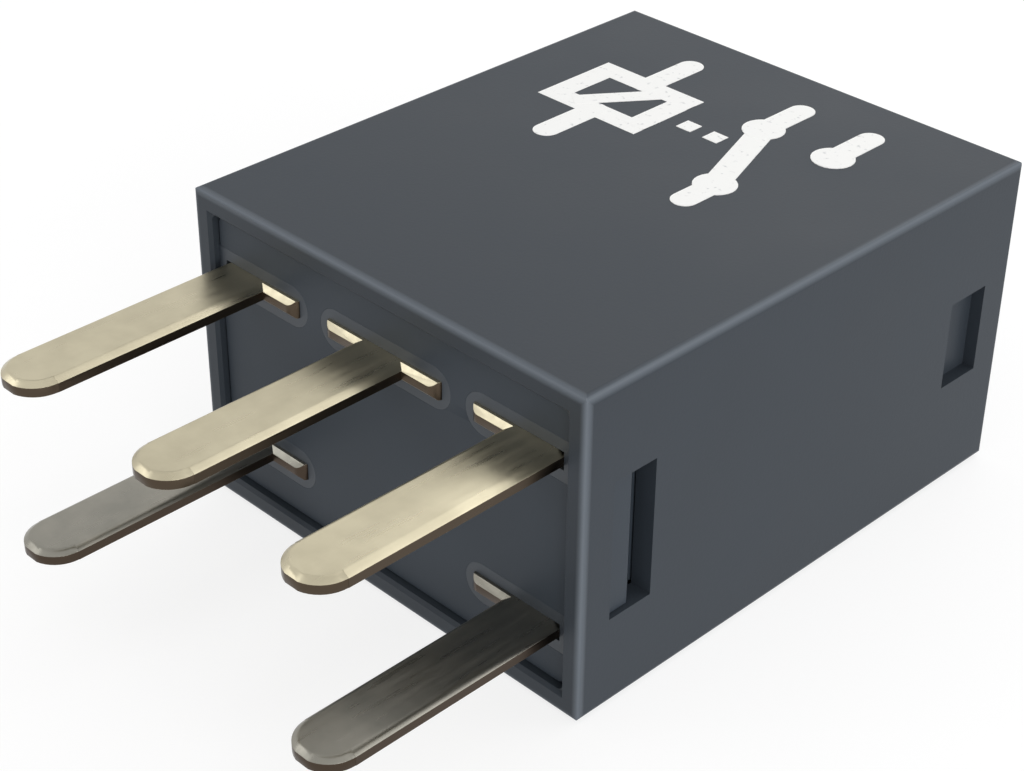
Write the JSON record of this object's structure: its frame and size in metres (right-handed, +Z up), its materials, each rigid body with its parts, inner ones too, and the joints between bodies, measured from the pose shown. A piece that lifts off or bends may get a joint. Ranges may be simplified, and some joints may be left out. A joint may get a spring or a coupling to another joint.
{
  "type": "automotive relay",
  "caption": "Plug-in automotive changeover relay with flat blade terminals, moulded cover and a working hinged armature inside.",
  "frame": {"origin": "centre of the whole relay's outline, blades included, on the surface it lies on", "axes": "+Z up through the thickness, +X along the row of blades, -Y the way the blades point"},
  "size_m": [0.0226, 0.0382, 0.015],
  "materials": {
    "cover": "satin moulded plastic, dark blue-grey",
    "base": "satin moulded plastic, darker than the cover",
    "seal": "glossy cured sealing resin",
    "blade": "tin-plated copper alloy, satin",
    "yoke": "bright zinc-plated soft iron",
    "core": "turned soft iron",
    "armature": "bright zinc-plated soft iron",
    "bobbin": "natural-coloured moulded plastic",
    "winding": "enamelled copper wire",
    "spring": "rolled spring bronze",
    "rivet": "plated steel",
    "contact": "polished silver alloy",
    "resistor": "lacquered film resistor",
    "wire": "tinned wire"
  },
  "bodies": {
    "relay": {"cover": "cover", "base": "base", "terminal_30": "blade", "terminal_85": "blade", "terminal_86": "blade", "terminal_87": "blade", "terminal_87a": "blade", "seal_30": "seal", "seal_85": "seal", "seal_86": "seal", "seal_87": "seal", "seal_87a": "seal", "yoke": "yoke", "core": "core", "bobbin": "bobbin", "winding": "winding", "lead_85": "winding", "lead_86": "winding", "resistor": "resistor", "resistor_wires": "wire", "yoke_rivets": "rivet", "open_contact": "contact", "closed_contact": "contact"},
    "armature": {"armature": "armature", "contact_spring": "spring", "armature_rivets": "rivet", "moving_contact": "contact"}
  },
  "joints": [
    {"name": "armature_pivot", "type": "hinge", "parent": "relay", "child": "armature", "pos_m": [-0.0092, 0.01344, 0.0075], "axis": [0, 0, 1], "range_deg": [-2.6, 0], "stiffness_Nm_per_rad": 0.02, "springref_deg": 8.59, "deforming": ["contact_spring"]}
  ]
}
